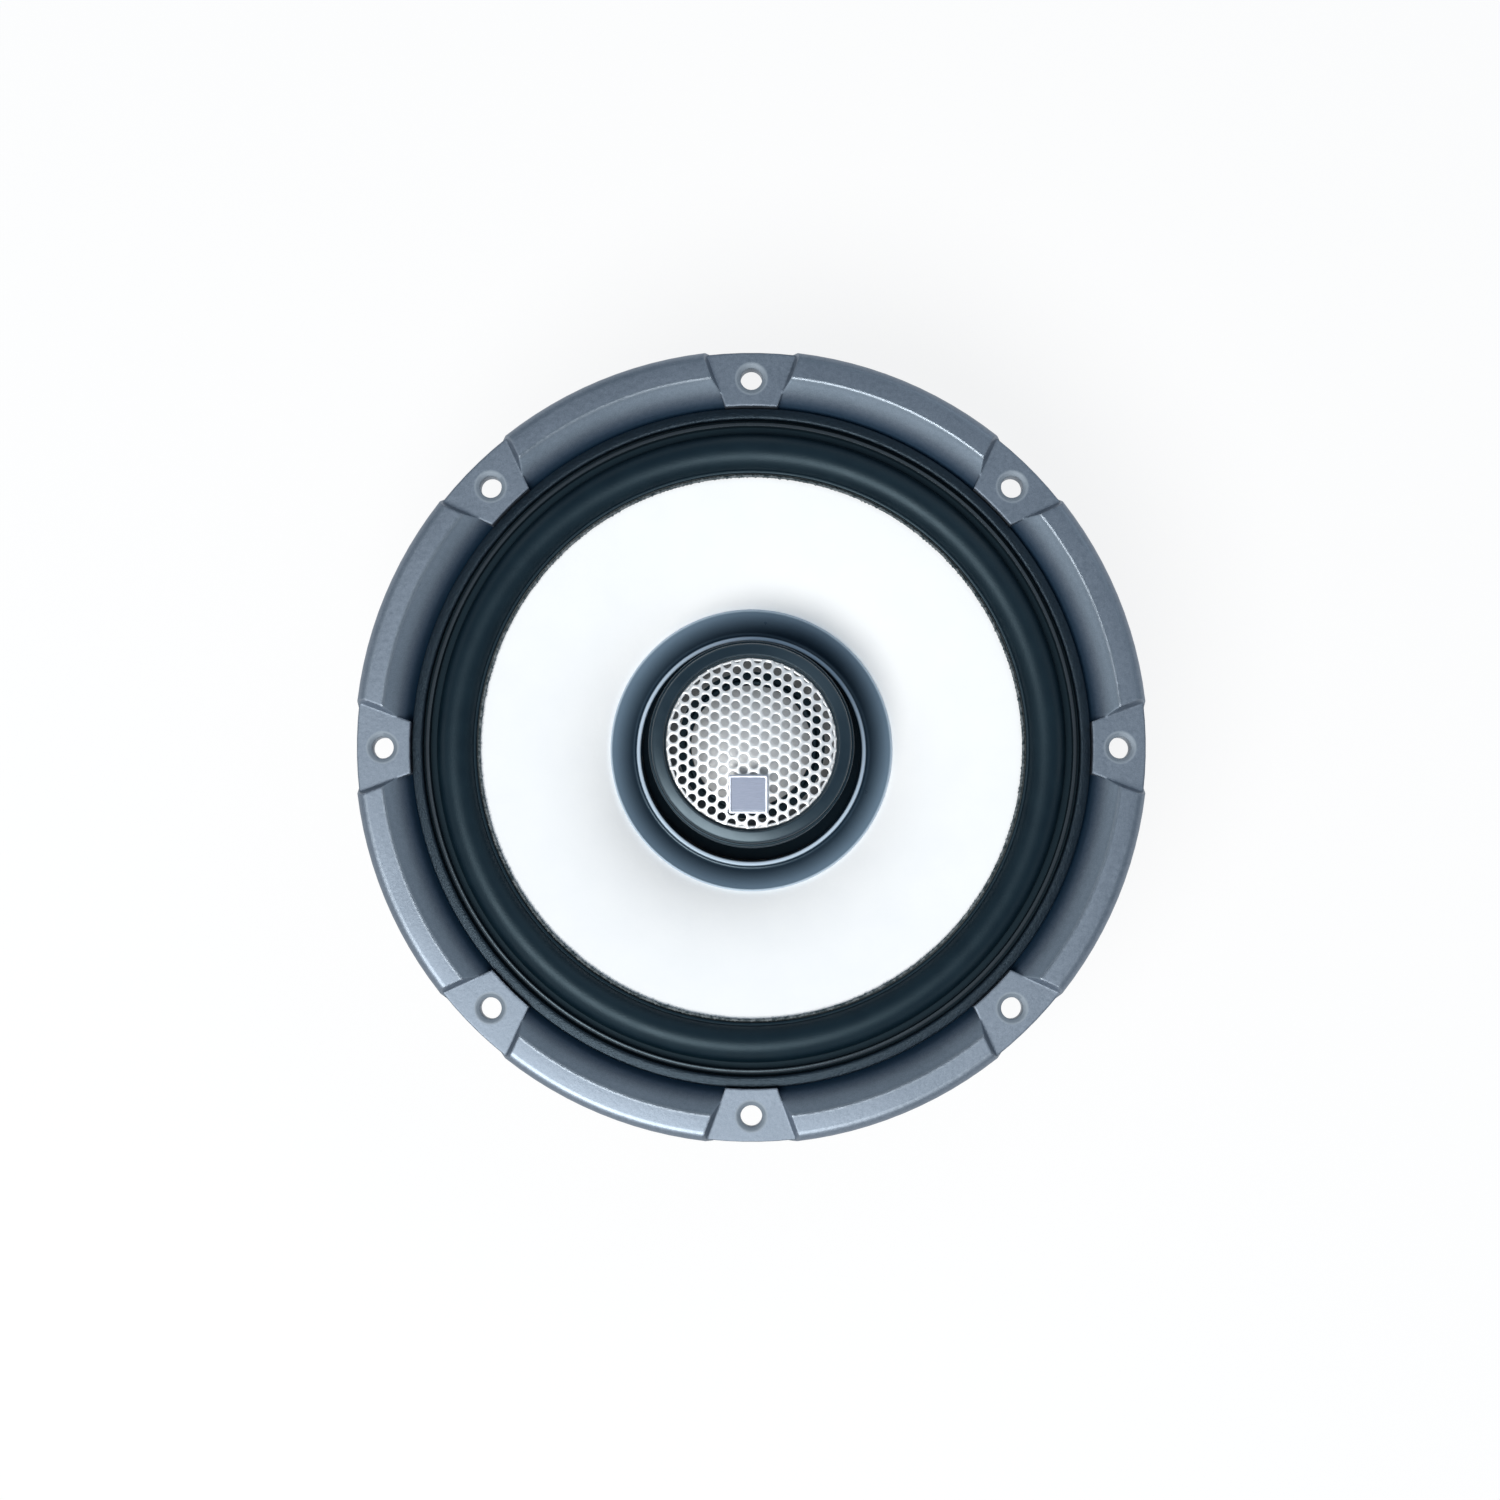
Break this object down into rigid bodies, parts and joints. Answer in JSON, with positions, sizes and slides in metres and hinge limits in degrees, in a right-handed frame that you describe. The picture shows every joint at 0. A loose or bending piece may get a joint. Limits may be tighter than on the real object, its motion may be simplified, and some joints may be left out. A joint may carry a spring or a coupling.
{
  "type": "coaxial car speaker",
  "caption": "Round coaxial car speaker: cast frame with screw pads round a raised rim, moving cone with a rubber surround, and a grilled tweeter on a centre post.",
  "frame": {"origin": "centre of the motor's rear face, on which the speaker rests", "axes": "+Z along the speaker's axis towards the listener; the terminals face -Y"},
  "size_m": [0.165, 0.165, 0.0754],
  "materials": {
    "frame_paint": "satin",
    "gasket_fibre": "matte",
    "surround_rubber": "satin",
    "spider_cloth": "matte",
    "cone_white": "satin",
    "collar_dark": "gloss",
    "adhesive": "matte",
    "former_film": "satin",
    "copper_wire": "satin",
    "motor_steel": "satin",
    "ferrite": "matte",
    "zinc_steel": "satin",
    "housing_dark": "satin",
    "bezel_dark": "gloss",
    "grille_metal": "satin",
    "badge_metal": "satin",
    "dome_metal": "satin",
    "faceplate_grey": "satin",
    "tweeter_steel": "satin",
    "board_fibre": "matte",
    "tinned_brass": "satin",
    "capacitor_film": "satin",
    "lead_braid": "matte"
  },
  "bodies": {
    "frame": {"back_plate": "motor_steel", "magnet": "ferrite", "front_plate": "motor_steel", "basket": "frame_paint", "motor_screws": "zinc_steel", "gasket_ring": "gasket_fibre", "spider": "spider_cloth", "surround": "surround_rubber", "tinsel_leads": "lead_braid", "tweeter_stem": "zinc_steel", "stem_washer": "zinc_steel", "stem_nut_rear": "zinc_steel", "stem_nut_top": "zinc_steel", "tweeter_pod": "housing_dark", "tweeter_cup": "tweeter_steel", "tweeter_magnet": "tweeter_steel", "tweeter_top_plate": "tweeter_steel", "tweeter_faceplate": "faceplate_grey", "tweeter_roll": "surround_rubber", "tweeter_bezel": "bezel_dark", "tweeter_grille": "grille_metal", "badge_plate": "badge_metal", "terminal_board": "board_fibre", "board_rivets": "zinc_steel", "spade_positive": "tinned_brass", "spade_negative": "tinned_brass", "spade_rivets": "tinned_brass", "capacitor": "capacitor_film", "capacitor_leads": "zinc_steel"},
    "cone_assembly": {"voice_coil_former": "former_film", "voice_coil_winding": "copper_wire", "cone": "cone_white", "cone_collar": "collar_dark", "edge_bead": "adhesive", "lead_eyelets": "tinned_brass"},
    "dome_assembly": {"tweeter_dome": "dome_metal", "tweeter_coil": "copper_wire"}
  },
  "joints": [
    {"name": "cone_stroke", "type": "slide", "parent": "frame", "child": "cone_assembly", "axis": [0, 0, 1], "range_m": [-0.005, 0.005], "stiffness_N_per_m": 2500, "deforming": ["surround", "spider", "tinsel_leads"]},
    {"name": "dome_stroke", "type": "slide", "parent": "frame", "child": "dome_assembly", "axis": [0, 0, 1], "range_m": [-0.0003, 0.0003], "stiffness_N_per_m": 3000, "deforming": ["tweeter_roll"]}
  ]
}
